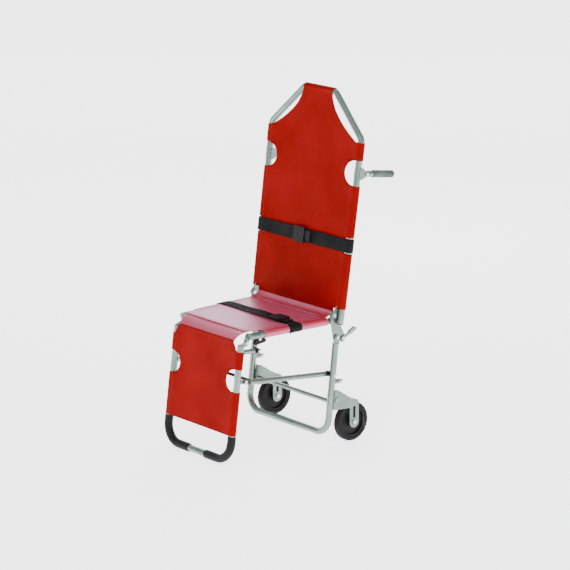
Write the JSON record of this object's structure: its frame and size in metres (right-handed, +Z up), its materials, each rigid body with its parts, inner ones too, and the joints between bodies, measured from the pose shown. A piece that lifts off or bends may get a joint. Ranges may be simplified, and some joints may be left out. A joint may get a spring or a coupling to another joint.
{
  "type": "stair chair",
  "caption": "Folding stair chair: fabric seat, back and leg rest on tubular frames, with a wheeled leg frame, carry handles and two straps.",
  "frame": {"origin": "on the floor, below the middle of the whole chair's outline", "axes": "+Z up, -Y towards the front where the feet go, +X to the sitter's left"},
  "size_m": [0.5484, 0.7448, 1.3206],
  "materials": {
    "red_vinyl": "smooth coated fabric, glossy",
    "black_webbing": "woven webbing",
    "black_plastic": "moulded, satin",
    "black_tyre": "matt rubber",
    "black_rubber": "satin rubber",
    "grey_rubber": "ribbed rubber",
    "plated_steel": "zinc plated",
    "dark_steel": "blackened",
    "brass_bush": "turned",
    "cast_grey": "die cast, tumbled",
    "bare_aluminium": "drawn tube, satin"
  },
  "bodies": {
    "seat": {"seat_rail_left": "bare_aluminium", "seat_rail_right": "bare_aluminium", "seat_front_tube": "bare_aluminium", "seat_rear_tube": "bare_aluminium", "seat_panel": "red_vinyl", "seat_hinge_plate_left": "cast_grey", "seat_hinge_plate_right": "cast_grey", "seat_plate_rivets": "plated_steel", "seat_pivot_bolts": "plated_steel", "seat_front_fittings": "cast_grey", "seat_rail_plugs": "black_plastic", "seat_strap": "black_webbing", "seat_buckle": "black_plastic", "latch_brackets": "plated_steel"},
    "back": {"back_tube": "bare_aluminium", "back_cross_tube": "bare_aluminium", "back_hinge_lugs": "cast_grey", "back_tube_plugs": "black_plastic", "back_panel": "red_vinyl", "chest_strap": "black_webbing", "chest_buckle": "black_plastic", "handle_brackets": "cast_grey", "handle_pins": "plated_steel"},
    "leg_rest": {"leg_rest_tube": "bare_aluminium", "leg_rest_panel": "red_vinyl", "foot_grip_left": "black_rubber", "foot_grip_right": "black_rubber", "leg_rest_lugs": "cast_grey", "strut_front_bolts": "plated_steel"},
    "leg_frame": {"leg_frame_tube": "bare_aluminium", "leg_cross_tube": "bare_aluminium", "leg_end_fittings": "cast_grey", "wheel_fork_left": "cast_grey", "wheel_fork_right": "cast_grey", "wheel_axle_bolts": "plated_steel", "strut_rear_bolts": "plated_steel", "plunger_barrels": "cast_grey"},
    "struts": {"strut_tube_left": "bare_aluminium", "strut_tube_right": "bare_aluminium", "strut_front_ends": "cast_grey", "strut_rear_ends": "black_plastic", "strut_cross_rod": "dark_steel"},
    "seat_button": {"seat_buckle_button": "black_plastic"},
    "chest_button": {"chest_buckle_button": "black_plastic"},
    "wheel_left": {"tyre_left": "black_tyre", "wheel_hub_left": "black_plastic", "wheel_bush_left": "brass_bush"},
    "handle_left": {"handle_tube_left": "bare_aluminium", "handle_grip_left": "grey_rubber"},
    "lock_lever_left": {"leg_lock_lever_left": "cast_grey"},
    "latch_left": {"leg_rest_latch_left": "black_plastic"},
    "plunger_left": {"strut_lock_plunger_left": "plated_steel"},
    "wheel_right": {"tyre_right": "black_tyre", "wheel_hub_right": "black_plastic", "wheel_bush_right": "brass_bush"},
    "handle_right": {"handle_tube_right": "bare_aluminium", "handle_grip_right": "grey_rubber"},
    "lock_lever_right": {"leg_lock_lever_right": "cast_grey"},
    "latch_right": {"leg_rest_latch_right": "black_plastic"},
    "plunger_right": {"strut_lock_plunger_right": "plated_steel"}
  },
  "joints": [
    {"name": "back_fold", "type": "hinge", "parent": "seat", "child": "back", "pos_m": [0, 0.10392, 0.503], "axis": [-1, 0, 0], "range_deg": [-97.8, 82.2]},
    {"name": "leg_rest_lift", "type": "hinge", "parent": "seat", "child": "leg_rest", "pos_m": [0, -0.27528, 0.454], "axis": [-1, 0, 0], "range_deg": [0, 82.6]},
    {"name": "leg_frame_fold", "type": "hinge", "parent": "seat", "child": "leg_frame", "pos_m": [0, 0.11972, 0.416], "axis": [-1, 0, 0], "range_deg": [0, 82.6]},
    {"name": "strut_swing", "type": "hinge", "parent": "leg_frame", "child": "struts", "pos_m": [0, 0.10354, 0.27392], "axis": [-1, 0, 0], "range_deg": [-82.6, 0]},
    {"name": "wheel_spin_left", "type": "hinge", "parent": "leg_frame", "child": "wheel_left", "pos_m": [0.2245, 0.19972, 0.075], "axis": [-1, 0, 0], "continuous": true},
    {"name": "handle_fold_left", "type": "hinge", "parent": "back", "child": "handle_left", "pos_m": [0.2532, 0.23176, 1.02366], "axis": [-1, 0, 0], "range_deg": [0, 90]},
    {"name": "lock_lever_turn_left", "type": "hinge", "parent": "seat", "child": "lock_lever_left", "pos_m": [0.233, 0.14772, 0.408], "axis": [-1, 0, 0], "range_deg": [-20, 0], "stiffness_Nm_per_rad": 0.6, "springref_deg": 6.88},
    {"name": "latch_turn_left", "type": "hinge", "parent": "seat", "child": "latch_left", "pos_m": [0.19, -0.21328, 0.4585], "axis": [-1, 0, 0], "range_deg": [-15, 0], "stiffness_Nm_per_rad": 0.3, "springref_deg": 5.73},
    {"name": "plunger_pull_left", "type": "slide", "parent": "leg_frame", "child": "plunger_left", "axis": [0, 0.9936, -0.1132], "range_m": [0, 0.008], "stiffness_N_per_m": 300, "springref_m": -0.004},
    {"name": "wheel_spin_right", "type": "hinge", "parent": "leg_frame", "child": "wheel_right", "pos_m": [-0.2245, 0.19972, 0.075], "axis": [-1, 0, 0], "continuous": true},
    {"name": "handle_fold_right", "type": "hinge", "parent": "back", "child": "handle_right", "pos_m": [-0.2532, 0.23176, 1.02366], "axis": [-1, 0, 0], "range_deg": [0, 90]},
    {"name": "lock_lever_turn_right", "type": "hinge", "parent": "seat", "child": "lock_lever_right", "pos_m": [-0.233, 0.14772, 0.408], "axis": [-1, 0, 0], "range_deg": [-20, 0], "stiffness_Nm_per_rad": 0.6, "springref_deg": 6.88},
    {"name": "latch_turn_right", "type": "hinge", "parent": "seat", "child": "latch_right", "pos_m": [-0.19, -0.21328, 0.4585], "axis": [-1, 0, 0], "range_deg": [-15, 0], "stiffness_Nm_per_rad": 0.3, "springref_deg": 5.73},
    {"name": "plunger_pull_right", "type": "slide", "parent": "leg_frame", "child": "plunger_right", "axis": [0, 0.9936, -0.1132], "range_m": [0, 0.008], "stiffness_N_per_m": 300, "springref_m": -0.004},
    {"name": "seat_button_press", "type": "slide", "parent": "seat", "child": "seat_button", "axis": [0, 0, -1], "range_m": [0, 0.0025], "stiffness_N_per_m": 400, "springref_m": -0.003},
    {"name": "chest_button_press", "type": "slide", "parent": "back", "child": "chest_button", "axis": [0, 0.9907, -0.1357], "range_m": [0, 0.0025], "stiffness_N_per_m": 400, "springref_m": -0.003}
  ],
  "couplings": [
    {"joint": "leg_frame_fold", "follows": "leg_rest_lift", "ratio": 1},
    {"joint": "strut_swing", "follows": "leg_rest_lift", "ratio": -1}
  ]
}
